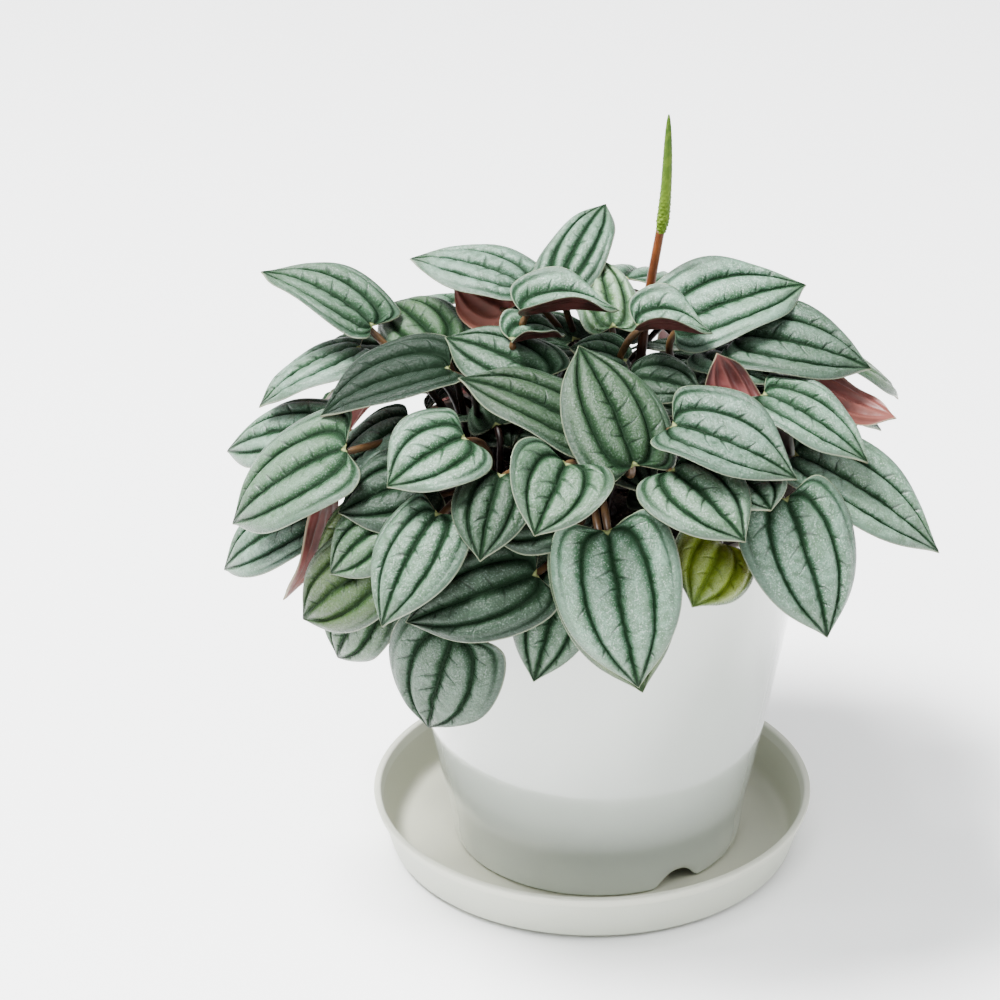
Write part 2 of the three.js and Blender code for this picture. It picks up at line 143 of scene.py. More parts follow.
def turned_shell(name, profile, material, sides=160, shift=(0, 0), lift=None):
    """A solid of revolution: each [radius, height] pair of the profile, in mm, swept round Z.
    The profile starts and ends on the axis; lift, if given, raises each point by a rule."""
    profile = np.asarray(profile, float)
    turn = -np.linspace(0, 2 * np.pi, sides, endpoint=False)[None, :]
    radius, height = profile[:, :1], profile[:, 1:]
    z = height + 0 * turn
    if lift is not None:
        z = z + lift(radius, height, turn)
    rows = np.stack([radius * np.cos(turn) + shift[0], radius * np.sin(turn) + shift[1], z], axis=-1)
    return make_piece(name, [material], [skin(rows)])


def smooth_profile(corners):
    """Points along [radius, height, rounding] corners. Each corner is cut: from a distance of the rounding
    before it to the same distance after it runs a curve that leans along both sides."""
    corners = np.asarray(corners, float)
    path = [corners[0, :2]]
    for before, here, after in zip(corners[:-2], corners[1:-1], corners[2:]):
        if here[2] <= 0:
            path.append(here[:2])
            continue
        back = before[:2] - here[:2]
        on = after[:2] - here[:2]
        start = here[:2] + back * min(here[2] / np.linalg.norm(back), 0.48)
        finish = here[:2] + on * min(here[2] / np.linalg.norm(on), 0.48)
        u = np.linspace(0, 1, 7)[:, None]
        path.extend((1 - u) ** 2 * start + 2 * u * (1 - u) * here[:2] + u ** 2 * finish)
    path.append(corners[-1, :2])
    return np.array(path)


# %% [markdown]
# A material is a small machine of nodes. Writing each node by hand is long, so this bench has one short
# word for each kind of node that the finishes use, and wires numbers or other nodes straight into it.

# %% The material bench
class Bench:
    """One material under construction: each word adds a node and returns its output."""

    def __init__(self, name, **surface):
        self.material = bpy.data.materials.new(name)
        self.material.use_nodes = True
        self.tree = self.material.node_tree
        self.shader = self.tree.nodes["Principled BSDF"]
        for socket, value in surface.items():
            self.shader.inputs[socket.replace("_", " ")].default_value = value

    def wire(self, value, socket):
        if isinstance(value, bpy.types.NodeSocket):
            self.tree.links.new(value, socket)
        elif socket.type == "RGBA":
            socket.default_value = (*value[:3], 1)
        else:
            socket.default_value = value

    def node(self, kind, **settings):
        made = self.tree.nodes.new(kind)
        for key, value in settings.items():
            setattr(made, key, value)
        return made

    def fill(self, made, *values):
        """Wires the values to a node's first sockets in turn, and returns what comes out."""
        for value, socket in zip(values, made.inputs):
            self.wire(value, socket)
        return made.outputs

    def math(self, operation, a, b=0.0, c=0.0, clamp=False):
        return self.fill(self.node("ShaderNodeMath", operation=operation, use_clamp=clamp), a, b, c)[0]

    def smooth(self, value, low, high, out_low=0.0, out_high=1.0):
        made = self.node("ShaderNodeMapRange", interpolation_type="SMOOTHSTEP")
        return self.fill(made, value, low, high, out_low, out_high)[0]

    def times(self, *values):
        """The product of all the values."""
        product = values[0]
        for value in values[1:]:
            product = self.math("MULTIPLY", product, value)
        return product

    def squares(self, x, y):
        """The sum of both squares, which is the squared distance from the axis."""
        return self.math("ADD", self.times(x, x), self.times(y, y))

    def strongest(self, *masks):
        best = masks[0]
        for mask in masks[1:]:
            best = self.math("MAXIMUM", best, mask)
        return best

    def mix(self, factor, a, b):
        made = self.node("ShaderNodeMix", data_type="RGBA")
        self.wire(factor, made.inputs["Factor"])
        self.wire(a, made.inputs[6])
        self.wire(b, made.inputs[7])
        return made.outputs[2]

    def coats(self, color, *layers):
        """Coats over a colour, first to last. Each is a mask and a colour on the everyday scale."""
        for mask, coat in layers:
            color = self.mix(mask, color, everyday(*coat))
        return color

    def number(self, name):
        return self.node("ShaderNodeAttribute", attribute_name=name).outputs["Fac"]

    def place(self, map_name=None):
        if map_name:
            return self.node("ShaderNodeUVMap", uv_map=map_name).outputs[0]
        return self.node("ShaderNodeTexCoord").outputs["Object"]

    def parts(self, vector):
        return self.fill(self.node("ShaderNodeSeparateXYZ"), vector)

    def join(self, x, y, z):
        return self.fill(self.node("ShaderNodeCombineXYZ"), x, y, z)[0]

    def noise(self, vector, scale, detail=2.0, roughness=0.5):
        made = self.node("ShaderNodeTexNoise")
        self.wire(vector, made.inputs["Vector"])
        for key, value in (("Scale", scale), ("Detail", detail), ("Roughness", roughness)):
            made.inputs[key].default_value = value
        return made.outputs["Fac"]

    def bell(self, distance, width):
        """One at distance nought, falling away as a bell curve of the given width."""
        share = self.math("DIVIDE", distance, width)
        return self.math("EXPONENT", self.times(share, share, -1.0))

    def bump(self, height, strength, distance):
        made = self.node("ShaderNodeBump")
        for key, value in (("Strength", strength), ("Distance", distance), ("Height", height)):
            self.wire(value, made.inputs[key])
        self.tree.links.new(made.outputs[0], self.shader.inputs["Normal"])

    def paint(self, color, roughness=None):
        self.wire(color, self.shader.inputs["Base Color"])
        if roughness is not None:
            self.wire(roughness, self.shader.inputs["Roughness"])
        return self.material


# %% [markdown]
# ## The saucer
# A moulded dish in matte warm grey. It is turned on an axis, so one outline says all of it: a flat floor, a
# wall that leans out, and a rounded band round the rim that stands a little proud of the wall. It stands on
# a foot set in from the wall, and the low slot between the two keeps a thin shadow under the edge. Wall and
# band are painted a little lighter than the inside: painted light, where the outside faces the lamps.

# %% Saucer
SAUCER = dict(rim=67.0, base=62.0, height=17.0, wall=2.2, floor=2.0, band=2.8, step=0.7)
SAUCER_FOOT = dict(inset=8.5, lean=0.3, height=1.0, slot=1.2, undercut=0.4, wall_from=1.9)
# Where the painted light on wall and band starts and is full, in metres: the radius less the wall's lean, and
# the height
PAINTED_LIGHT = dict(lean=0.294, wall=(0.0598, 0.0606), band=(0.0136, 0.0142))


def matte_plastic():
    bench = Bench("matte grey plastic")
    at = bench.place()
    cloud = bench.noise(at, 30, 3)
    grain = bench.noise(at, 1400, 2)
    x, y, z = bench.parts(at)
    color = bench.mix(cloud, (0.45, 0.455, 0.36), (0.49, 0.495, 0.395))
    away = bench.math("SQRT", bench.squares(x, y))
    # Painted light: the outer wall and the rim band are painted lighter than the inside
    outside = bench.math("MULTIPLY_ADD", z, -PAINTED_LIGHT["lean"], away)
    color = bench.mix(bench.smooth(outside, *PAINTED_LIGHT["wall"]), color, (0.52, 0.54, 0.46))
    color = bench.mix(bench.smooth(z, *PAINTED_LIGHT["band"]), color, (0.56, 0.57, 0.48))
    bench.bump(grain, 0.12, 0.0002)
    return bench.paint(color, bench.smooth(cloud, 0.2, 0.8, 0.42, 0.55))


def saucer():
    s, foot = SAUCER, SAUCER_FOOT
    lean = (s["rim"] - s["base"]) / s["height"]
    wall = lambda z: s["base"] - s["step"] + lean * z
    band_z = s["height"] - s["band"]
    inside = lambda z: s["base"] - s["wall"] + lean * z
    corners = [
        [0, 0, 0],
        [s["base"] - foot["inset"], 0, 0.3],
        [s["base"] - foot["inset"] + foot["lean"], foot["height"], 0.3],
        [wall(foot["slot"]) - foot["undercut"], foot["slot"], 0.3],
        [wall(foot["wall_from"]), foot["wall_from"], 0.4],
        [wall(band_z - 0.4), band_z - 0.4, 0.15],
        [wall(band_z) + s["step"], band_z, 0.25],
        [s["rim"], s["height"], 0.9],
        [s["rim"] - s["wall"], s["height"], 0.8],
        [inside(s["floor"]), s["floor"], 3.0],
        [0, s["floor"], 0],
    ]
    return turned_shell("saucer_shell", smooth_profile(corners), matte_plastic())


saucer_piece = saucer()
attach(saucer_piece, "root")
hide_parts("saucer")
print("saucer triangles:", triangles(saucer_piece))

# %% [markdown]
# ## The pot
# A glossy injection-moulded pot. Its wall tapers to the foot with a slight swell and flares out again just
# above the ground, the rim turns out into a small lip, and the foot has three low arches that let water
# out. The arches are a rule: near their bearings the lowest points of the foot are lifted.

# %% Pot
POT = dict(x=1.3, y=1.9, base_z=2.3, base=43.3, rim=65.0, rim_z=124.0, wall=2.4, swell=0.9)
POT.update(lip=0.35, lip_height=2.4, foot=7.0, floor=2.6, flare=0.9, flare_high=7.0)
ARCH = dict(count=3, turn=-55.0, width=16.0, height=5.2)


def pot_radius(z):
    """Outside radius: straight taper plus half a sine of swell, and a foot that stands a little proud."""
    u = (z - POT["base_z"]) / (POT["rim_z"] - POT["base_z"])
    foot = POT["flare"] * np.exp(-((z - POT["base_z"]) / POT["flare_high"]) ** 2)
    return POT["base"] + (POT["rim"] - POT["base"]) * u + POT["swell"] * np.sin(np.pi * u) + foot


def arch_lift(radius, height, turn):
    """Raises the foot's lowest points near each arch: a squared cosine hump, fading out with height."""
    spacing = 2 * np.pi / ARCH["count"]
    off = (turn - math.radians(ARCH["turn"]) + spacing / 2) % spacing - spacing / 2
    across = np.abs(off) * POT["base"] / (ARCH["width"] / 2)
    hump = ARCH["height"] * (1 - np.clip(across, 0, 1) ** 2.4) ** 1.6
    near_foot = np.clip(1 - (height - POT["base_z"]) / (ARCH["height"] + 1.5), 0, 1)
    at_wall = (radius > POT["base"] - POT["wall"] - 1).astype(float)
    return hump * near_foot * at_wall


def glossy_plastic():
    coat = dict(Coat_Weight=1.0, Coat_IOR=1.9, Coat_Roughness=0.03)
    bench = Bench("glossy pale plastic", Specular_IOR_Level=0.8, **coat)
    at = bench.place()
    cloud = bench.noise(at, 18, 2)
    fine = bench.noise(at, 260, 3)
    color = bench.mix(cloud, (0.4, 0.435, 0.39), (0.43, 0.465, 0.42))
    bench.bump(fine, 0.04, 0.0003)
    return bench.paint(color, bench.smooth(fine, 0.3, 0.8, 0.13, 0.2))


def pot():
    z0 = POT["base_z"]
    wall_z = np.linspace(z0 + 4, POT["rim_z"] - POT["lip_height"] - 0.6, 30)
    lip_z = POT["rim_z"] - POT["lip_height"]
    floor_z = z0 + POT["foot"]
    corners = [
        [0, floor_z, 0],
        [POT["base"] - POT["wall"], floor_z, 0.8],
        [POT["base"] - POT["wall"], z0, 0.4],
        [pot_radius(z0) - 0.3, z0, 1.2],
        *[[pot_radius(z), z, 0] for z in wall_z],
        [pot_radius(lip_z), lip_z, 0.3],
        [POT["rim"] + POT["lip"], lip_z + 0.3, 0.3],
        [POT["rim"] + POT["lip"], POT["rim_z"], 0.9],
        [POT["rim"] - POT["wall"], POT["rim_z"], 0.9],
        *[[pot_radius(z) - POT["wall"], z, 0] for z in wall_z[::-1]],
        [pot_radius(floor_z + POT["floor"]) - POT["wall"], floor_z + POT["floor"], 1.5],
        [0, floor_z + POT["floor"], 0],
    ]
    shift = (POT["x"], POT["y"])
    return turned_shell("pot_shell", smooth_profile(corners), glossy_plastic(), 240, shift, arch_lift)


pot_piece = pot()
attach(pot_piece, "root")
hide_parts("pot")
print("pot triangles:", triangles(pot_piece))


# %% [markdown]
# ## The soil
# Dark potting soil fills the pot to a finger's width below the rim. Only its top shows, so the sides stay
# plain and the top is roughened into crumbs: waves in random directions, folded so that their valleys turn
# sharp, which reads as loose lumps. A fixed seed gives the same crumbs every time.

# %% Soil
SOIL = dict(top=111.0, rise=2.0, gap=0.5, crumb=1.1)


def crumbs(x, y, seed=3, waves=26):
    """Lumps between 0 and 1: each wave is |sin| of a random direction and pitch; their mean is taken."""
    draw = np.random.default_rng(seed)
    bearing = draw.uniform(0, 2 * np.pi, waves)
    pitch = draw.uniform(0.5, 2.4, waves)
    start = draw.uniform(0, 6.28, waves)
    along = x[..., None] * np.cos(bearing) + y[..., None] * np.sin(bearing)
    return np.abs(np.sin(along * pitch + start)).mean(axis=-1)


def potting_soil():
    bench = Bench("dark potting soil", Roughness=0.95)
    at = bench.place()
    lump = bench.noise(at, 420, 5, 0.65)
    fleck = bench.smooth(bench.noise(at, 900, 1), 0.68, 0.74)
    color = bench.mix(bench.smooth(lump, 0.3, 0.7), everyday(12, 8, 6), everyday(46, 32, 23))
    color = bench.coats(color, (bench.times(fleck, 0.6), (96, 76, 56)))
    bench.bump(lump, 0.9, 0.0015)
    return bench.paint(color)


def soil():
    bottom = POT["base_z"] + POT["foot"] + POT["floor"] + 0.3
    inside = lambda z: pot_radius(z) - POT["wall"] - SOIL["gap"]
    side_z = np.linspace(bottom, SOIL["top"], 8)
    rings = np.linspace(1, 0, 90)[1:]
    rim = inside(SOIL["top"])
    top = [[rim * u, SOIL["top"] + SOIL["rise"] * (1 - u * u)] for u in rings]
    profile = [[0, bottom], *[[inside(z), z] for z in side_z], *top]

    def lift(radius, height, turn):
        lumps = crumbs(radius * np.cos(turn), radius * np.sin(turn))
        on_top = np.clip((height - SOIL["top"]) / 0.05, 0, 1) * np.clip((rim - radius) / 1.5, 0, 1)
        keep_pole = np.clip(radius / 0.5, 0, 1)
        return SOIL["crumb"] * (lumps - 0.63) * 5 * on_top * keep_pole

    return turned_shell("soil_crumbs", profile, potting_soil(), 220, (POT["x"], POT["y"]), lift)


soil_piece = soil()
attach(soil_piece, "root")
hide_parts("soil")
print("soil triangles:", triangles(soil_piece))

# %% [markdown]
# ## Where the leaves are
# Every leaf is told by a few values: in mm, where the stalk meets the blade, where the tip is and how wide
# it is; then how far it is turned about its midrib in degrees, how it cups and how it arches. The last word
# is its look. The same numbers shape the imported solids, so the fine leaves grow where the plain ones stand.

# %% The leaf table
CROWNS = {
    "crown_left": (-34, 0),
    "crown_front_left": (-26, -30),
    "crown_front": (2, -40),
    "crown_front_right": (30, -28),
    "crown_right": (38, 8),
    "crown_middle": (2, -8),
    "crown_back": (2, 26),
    "crown_back_left": (-30, 34),
    "crown_back_right": (32, 36),
}

LEAVES = {
    "crown_left": [
        ((-63, -6, 171), (-97, 12, 180), 29, 12, 0.2, 0.08, "shaded"),
        ((-44, -7, 166), (-60, 18, 168), 26, 0, -0.12, 0.08, "forest"),
        ((-39, -37, 172), (-75, -44, 160), 36, 10, 0.2, 0.08, "gloom"),
        ((-67, -3, 163), (-96, -13, 148), 30, 0, -0.1, 0.08, "silver"),
        ((-75, -23, 146), (-107, -5, 130), 26, 0, -0.1, 0.08, "pale"),
        ((-67, -54, 155), (-101, -44, 126), 35, 0, 0, 0.08, "deep"),
        ((-50, -38, 156), (-72, -52, 141), 27, 0, -0.1, 0.08, "silver"),
    ],
    "crown_front_left": [
        ((-78, -42, 128), (-106, -30, 104), 26, 10, 0.1, 0.08, "silver"),
        ((-73, -49, 136), (-87, -48, 104), 16, -115, -0.1, 0.08, "turned"),
        ((-62, -61, 136), (-74, -63, 109), 23, 0, -0.1, 0.08, "olive"),
        ((-57, -71, 129), (-80, -61, 105), 28, 0, -0.1, 0.08, "fresh"),
        ((-55, -67, 139), (-71, -68, 123), 22, 0, -0.1, 0.08, "green"),
        ((-40, -77, 147), (-55, -91, 119), 29, 10, -0.15, 0.08, "deep"),
        ((-60, -65, 115), (-71, -56, 90), 25, 0, -0.1, 0.08, "green"),
        ((-33, -65, 164), (-54, -76, 154), 31, 0, 0.05, 0.08, "plain"),
        ((-43, -61, 149), (-69, -62, 139), 28, 0, -0.1, 0.08, "night"),
        ((-36, -84, 113), (-44, -74, 78), 35, 0, -0.1, 0.08, "dark"),
    ],
    "crown_front": [
        ((-23, -73, 157), (-28, -92, 140), 24, 0, -0.1, 0.08, "night"),
        ((-5, -82, 165), (-13, -102, 153), 29, -12, 0.45, 0.08, "shaded"),
        ((6, -86, 147), (15, -101, 107), 36, 8, -0.15, 0.08, "pale"),
        ((4, -83, 143), (16, -93, 101), 34, 0, -0.1, 0.08, "olive"),
        ((-5, -79, 133), (-14, -88, 101), 25, 0, -0.1, 0.08, "shaded"),
        ((-13, -85, 133), (-49, -86, 118), 28, 0, -0.1, 0.08, "night"),
        ((-7, -78, 146), (-27, -81, 143), 19, 0, -0.1, 0.08, "night"),
    ],
    "crown_front_right": [
        ((23, -64, 168), (57, -72, 156), 35, -12, 0.25, 0.06, "slate"),
        ((41, -67, 154), (50, -81, 151), 23, 0, -0.1, 0.06, "silver"),
        ((23, -73, 159), (43, -92, 147), 29, 0, -0.05, 0.06, "deep"),
        ((37, -73, 137), (29, -90, 126), 25, 0, -0.1, 0.06, "lime"),
        ((54, -69, 149), (66, -84, 114), 35, 5, -0.1, 0.06, "silver"),
        ((57, -48, 152), (98, -52, 124), 33, -8, 0.15, 0.06, "pale"),
    ],
    "crown_right": [
        ((23, -16, 176), (61, 4, 181), 34, 10, 0.25, 0.06, "frost"),
        ((41, -17, 174), (79, -21, 166), 34, 10, 0.1, 0.06, "flint"),
        ((34, -18, 170), (53, -33, 166), 25, 0, -0.1, 0.06, "plain"),
        ((43, -47, 164), (35, -40, 179), 18, 175, 0.1, 0.06, "wine"),
        ((48, -41, 167), (77, -55, 153), 28, -5, 0.1, 0.06, "pale"),
        ((62, -24, 164), (86, -30, 155), 19, 188, 0.1, 0.06, "pink"),
        ((54, 4, 152), (84, 2, 136), 30, 0, -0.1, 0.08, "plain"),
    ],
    "crown_middle": [
        ((1, -60, 163), (-36, -50, 175), 29, 14, 0.1, 0.06, "thicket"),
        ((13, -73, 160), (-3, -45, 183), 31, 8, -0.1, 0.06, "moss"),
        ((-12, -41, 171), (-41, -27, 177), 27, 0, -0.1, 0.06, "dark"),
        ((11, -39, 170), (31, -47, 170), 25, 0, 0, 0.06, "night"),
        ((10, -29, 171), (-6, -29, 175), 20, 0, 0, 0.06, "dark"),
        ((13, -34, 184), (34, -31, 181), 25, -12, 0.65, 0.04, "hood"),
        ((-19, -30, 186), (8, -25, 185), 26, -12, 0.65, 0.04, "hood"),
        ((-22, -35, 180), (-7, -29, 179), 19, -12, 0.6, 0.04, "hood"),
    ],
    "crown_back": [
        ((-9, -2, 184), (3, 30, 195), 21, 0, -0.1, 0.06, "plain"),
        ((-20, 0, 182), (-54, 18, 182), 30, 0, 0, 0.06, "steel"),
        ((-25, -4, 175), (-41, 12, 178), 19, 150, -0.1, 0.08, "rust"),
        ((6, -14, 175), (1, 8, 187), 19, 0, -0.1, 0.06, "striped"),
    ],
    "crown_back_left": [
        ((-57, 12, 155), (-80, 6, 157), 22, -15, -0.1, 0.08, "dark"),
        ((-50, 22, 148), (-82, 20, 132), 30, 0, -0.1, 0.08, "plain"),
    ],
}
print("leaves in the table:", sum(len(row) for row in LEAVES.values()))

# %% [markdown]
# The far side is filled by three rows of leaves that shingle over the dome. A rule is shorter than a table
# here: even steps round the dome, each nudged by a draw from a small number mill, the same one that the
# solids use, so that the same leaves come out.

# %% Leaves of the far side
DOME = np.array([1.0, 2.0, 118.0])
DOME_RADII = np.array([106.0, 97.0, 68.0])
LEVEL_PULL = 0.2
BACK_ROWS = [(4, 48, 146, 37, 61, 30), (7, 24, 154, 54, 81, 30), (6, 42, 170, 74, 101, 31)]
BACK_CROWNS = [(60, "crown_back_right"), (118, "crown_back"), (181, "crown_back_left")]
BACK_LOOKS = ["plain", "silver", "deep", "plain", "green", "silver", "plain", "dark", "deep"]


def number_mill(seed):
    """Draws between -1 and 1: multiply, add, keep the remainder, over and over."""
    state = seed
    while True:
        state = (state * 1664525 + 1013904223) % 4294967296
        yield 2 * state / 4294967296 - 1


def dome_point(bearing, down, scale):
    """A point of the dome by its bearing and its angle down from the top, in degrees."""
    a, b = math.radians(bearing), math.radians(down)
    direction = np.array([math.sin(b) * math.cos(a), math.sin(b) * math.sin(a), math.cos(b)])
    return DOME + DOME_RADII * scale * direction


def back_leaves():
    draw = number_mill(7)
    found = []
    for count, first, last, stalk_at, tip_at, width in BACK_ROWS:
        for i in range(count):
            bearing = first + (last - first) * i / (count - 1) + 2 * next(draw)
            swing = 4 * next(draw)
            crown = next(name for below, name in BACK_CROWNS if bearing < below)
            stalk_end = dome_point(bearing, stalk_at, 0.83)
            tip = dome_point(bearing + swing, tip_at + 2 * next(draw), 0.94)
            wide = width + 2 * next(draw)
            look = BACK_LOOKS[len(found) % len(BACK_LOOKS)]
            found.append((crown, (stalk_end, tip, wide, 4 * next(draw), -0.08, 0.07, look)))
    return found


LEAVES.setdefault("crown_back_right", [])
for crown_name, leaf_row in back_leaves():
    LEAVES[crown_name].append(leaf_row)
print("leaves in all:", sum(len(row) for row in LEAVES.values()))

# %% [markdown]
# ## The blade
# A peperomia blade is thick and quilted: the skin swells between sunken veins that leave the stalk together
# and meet again at the tip. So the surface is laid out like the veins: s runs from stalk to tip, t from edge
# to edge, and a line of constant t is a vein. Sculpting could do one leaf; a rule gives all of them, each a
# little different. RIBS tells the slanted side veins: the t of the vein they leave, how far the furrow and
# its paint reach, and a step along the vein.

# %% The shape of a blade
BLADE_T = 0.8
LOBE_BACK = 0.72
VEIN_AT = (0.0, 0.52, 0.86)
VEIN_WIDE = (1.35, 1.1, 0.6)
PUFF = 1.5
RIB_PITCH = 4.8
RIB_SLANT = (0.8, 0.03)
RIBS = [(VEIN_AT[0], 0.34, 0.42, 0.0), (VEIN_AT[1], 0.26, 0.32, 0.45)]
WAVE = 0.8
ACROSS = np.array([0, 0.03, 0.07, 0.13, 0.2, 0.27, 0.34, 0.41, 0.46, 0.5, 0.54, 0.59, 0.65, 0.71, 0.77])
ACROSS = np.concatenate([ACROSS, [0.81, 0.84, 0.87, 0.91, 0.95, 0.98, 1]])
HALF_RING = np.concatenate([-ACROSS[:0:-1], ACROSS])
RING_T = np.concatenate([HALF_RING, HALF_RING[-2:0:-1]])[None, :]
RING_FACE = np.concatenate([np.ones(len(HALF_RING)), -np.ones(len(HALF_RING) - 2)])[None, :]
STEPS = np.linspace(0, 1, 49)
ALONG = (0.6 * STEPS + 0.4 * (0.5 - 0.5 * np.cos(np.pi * STEPS)))[:, None]


def unit(vector):
    return vector / np.linalg.norm(vector, axis=-1, keepdims=True)


def blade_axes(stalk_end, tip, turn):
    """x runs along the midrib and z points out of the upper face; both are turned about the midrib."""
    x = tip - stalk_end
    length = np.linalg.norm(x)
    x = x / length
    out = unit(((stalk_end + tip) / 2 - DOME) / DOME_RADII ** 2) * (1 - LEVEL_PULL)
    out = out + np.array([0, 0, LEVEL_PULL])
    z = unit(out - x * out.dot(x))
    y = np.cross(z, x)
    angle = math.radians(turn)
    z = z * math.cos(angle) - y * math.sin(angle)
    return x, np.cross(z, x), z, length


def outline(s, t, width):
    """Half width and place along the midrib: a sine made blunt, narrowed towards the tip and drawn out to
    a point; towards the edge the lines start further back, which makes the two lobes beside the stalk."""
    half = width / 2 * np.abs(np.sin(np.pi * s)) ** 0.62
    half = half * (1 - 0.75 * s ** 5) * (1 - 0.32 * s ** 12)
    edge = s - LOBE_BACK * np.sin(np.pi * s) * (1 - s) ** 2
    return half, (1 - np.abs(t)) * s + np.abs(t) * edge


def ribs(s, t, half, length, shift):
    """Short furrows that leave the midrib and the first veins slantwise: distance to the nearest slanted
    line, turned into a soft groove that dies away from its vein."""
    off = np.abs(t)
    groove = 0
    for start, reach, _, step in RIBS:
        away = (off - start) * half
        slant = (RIB_SLANT[0] + RIB_SLANT[1] * away) * away
        phase = (s * length - slant) / RIB_PITCH + step + shift + 0.5 * (t > 0)
        gap = np.abs(phase - np.round(phase)) * RIB_PITCH
        fade = np.clip(1 - away / np.maximum(reach * half, 0.1), 0, 1) * (away > 0)
        groove = groove + np.exp(-(gap / 0.65) ** 2) * fade
    return groove


def relief(s, t, half, length, shift):
    """Height of the quilted skin: one, less a bell-shaped groove along each vein, less the slanted ribs,
    falling away at the edge and where the blade is narrow."""
    off = np.abs(t)
    skin_height = 1 - off ** 7
    for at, wide in zip(VEIN_AT, VEIN_WIDE):
        depth = 0.95 if at < 0.7 else 0.6 * np.clip((0.75 - s) / 0.3, 0, 1)
        skin_height = skin_height * (1 - depth * np.exp(-((off - at) * half / wide) ** 2))
    skin_height = skin_height * (1 - 0.45 * ribs(s, t, half, length, shift))
    return PUFF * np.clip(half / 9, 0, 1) * skin_height


def blade_point(s, t, leaf, axes):
    """The middle of the blade: along the midrib, across it, arched lengthwise and cupped crosswise."""
    stalk_end, _, width, _, cup, arch, _ = leaf
    x, y, z, length = axes
    half, along = outline(s, t, width)
    across = t * half
    rise = arch * 4 * length * np.maximum(along, 0) * (1 - along) + cup * across ** 2 / (width / 2)
    place = np.asarray(stalk_end) + along[..., None] * length * x
    return place + across[..., None] * y + rise[..., None] * z, half


def blade(leaf, axes, draw, every=1):
    """The whole blade as rings: the upper face from edge to edge and back along the lower face. The
    thickness closes at the edge and at both ends; the edge waves a little. A copy that needs fewer faces
    takes only every so many rings."""
    along = ALONG[::every]
    s = along + 0 * RING_T
    t = RING_T + 0 * along
    middle, half = blade_point(s, t, leaf, axes)
    length = axes[3]
    closing = np.sqrt(np.clip(1 - t ** 8, 0, 1) * np.clip(1 - (2 * s - 1) ** 14, 0, 1))
    thick = BLADE_T / 2 * closing * RING_FACE
    shift = draw.uniform(0, 1)
    waves, start = draw.uniform(1.4, 2.4), draw.uniform(0, 1, 1)
    wave = WAVE * np.abs(t) ** 3 * np.sin(2 * np.pi * (waves * s + start))
    wave = wave * np.sin(np.pi * s) * np.sign(t) ** draw.integers(0, 2)
    height = relief(s, t, half, length, shift) * closing + wave + thick
    rows = middle + height[..., None] * axes[2]
    numbers = dict(half=half, long=0 * half + length, shift=0 * half + shift)
    for (key, spread), value in zip(TONES.items(), (*LOOKS[leaf[6]], 0, 0, 0)):
        numbers[key] = 0 * half + value + draw.uniform(-spread, spread)
    return dict(rows=rows, numbers=numbers, s=s, t=t)


# %% [markdown]
# Leaves of one plant differ: a few turn olive or lime, and their darkness is partly their own tone and partly
# painted shade: shaded ones, low or turned from the light, are painted dark, open ones silver. Each look is
# up
# to four numbers: how dark, green and yellow the face is, and how dim the underside, also partly painted
# shade. Below nought, the first makes the face paler and the last the underside. TONES tells how far each
# strays from leaf to leaf.
# The materials read them from the mesh, so that one recipe serves every leaf.

# %% Looks of the leaves
TONES = dict(dark=0.08, green=0.08, yellow=0.05, under=0.1)
# The darkness of many looks, such as shaded, night and gloom, is painted shade
LOOKS = {
    "plain": (0.16, 0.2),
    "silver": (0.04, 0.05),
    "pale": (-0.12, 0.05),
    "frost": (-0.08,),
    "forest": (0.68, 0.88, 0.1),
    "deep": (0.3, 0.35),
    "dark": (0.58, 0.45),
    "shaded": (0.45, 0.45),
    "night": (0.9, 0.5),
    "moss": (0.76, 0.72, 0.08),
    "thicket": (0.82, 0.75, 0.1),
    "slate": (0.34,),
    "flint": (0.56, 0.05),
    "gloom": (1.1, 0.45),
    "steel": (0.16,),
    "hood": (-0.06, 0.1, 0.0, 0.75),
    # Painted shade: the young leaves in the middle of the dome are painted dark
    "young": (0.85, 0.6),
    "green": (0.36, 0.75, 0.08),
    "fresh": (0.76, 0.8, 0.42),
    "olive": (0.4, 0.5, 0.6),
    "lime": (0.14, 0.9, 0.97),
    "striped": (-0.25, 0.2, 0.2),
    "wine": (0.3, 0.3, 0.0, 0.28),
    "pink": (0.1, 0.3, 0.0, -0.2),
    "rust": (0.1, 0.3, 0.0, -0.8),
    "turned": (0.3, 0.3),
}
print("looks:", len(LOOKS))

# %% [markdown]
# The masks of a leaf are numbers from 0 to 1 that follow the blade's own map, so they bend with it: dark
# veins, slanted dashes beside them by the same rule as the furrows, and a shade that spreads from each vein.

# %% Masks of a leaf
def blade_map(bench):
    """The blade's own places as nodes: along, across and from the midrib, as shares and in mm."""
    s, across_share, _ = bench.parts(bench.place("blade"))
    t = bench.math("MULTIPLY_ADD", across_share, 2.0, -1.0)
    half, long, shift = bench.number("half"), bench.number("long"), bench.number("shift")
    m = SimpleNamespace(s=s, t=t, off=bench.math("ABSOLUTE", t), half=half, long=long, shift=shift)
    m.along, m.across = bench.times(s, long), bench.times(t, half)
    return m


def vein_distances(bench, m):
    """Distances in mm across the blade from the three veins of one side."""
    gaps = [bench.math("ABSOLUTE", bench.math("SUBTRACT", m.off, at)) for at in VEIN_AT]
    return [bench.times(gap, m.half) for gap in gaps]


def from_edge(bench, m):
    return bench.times(bench.math("SUBTRACT", 1.0, m.off), m.half)


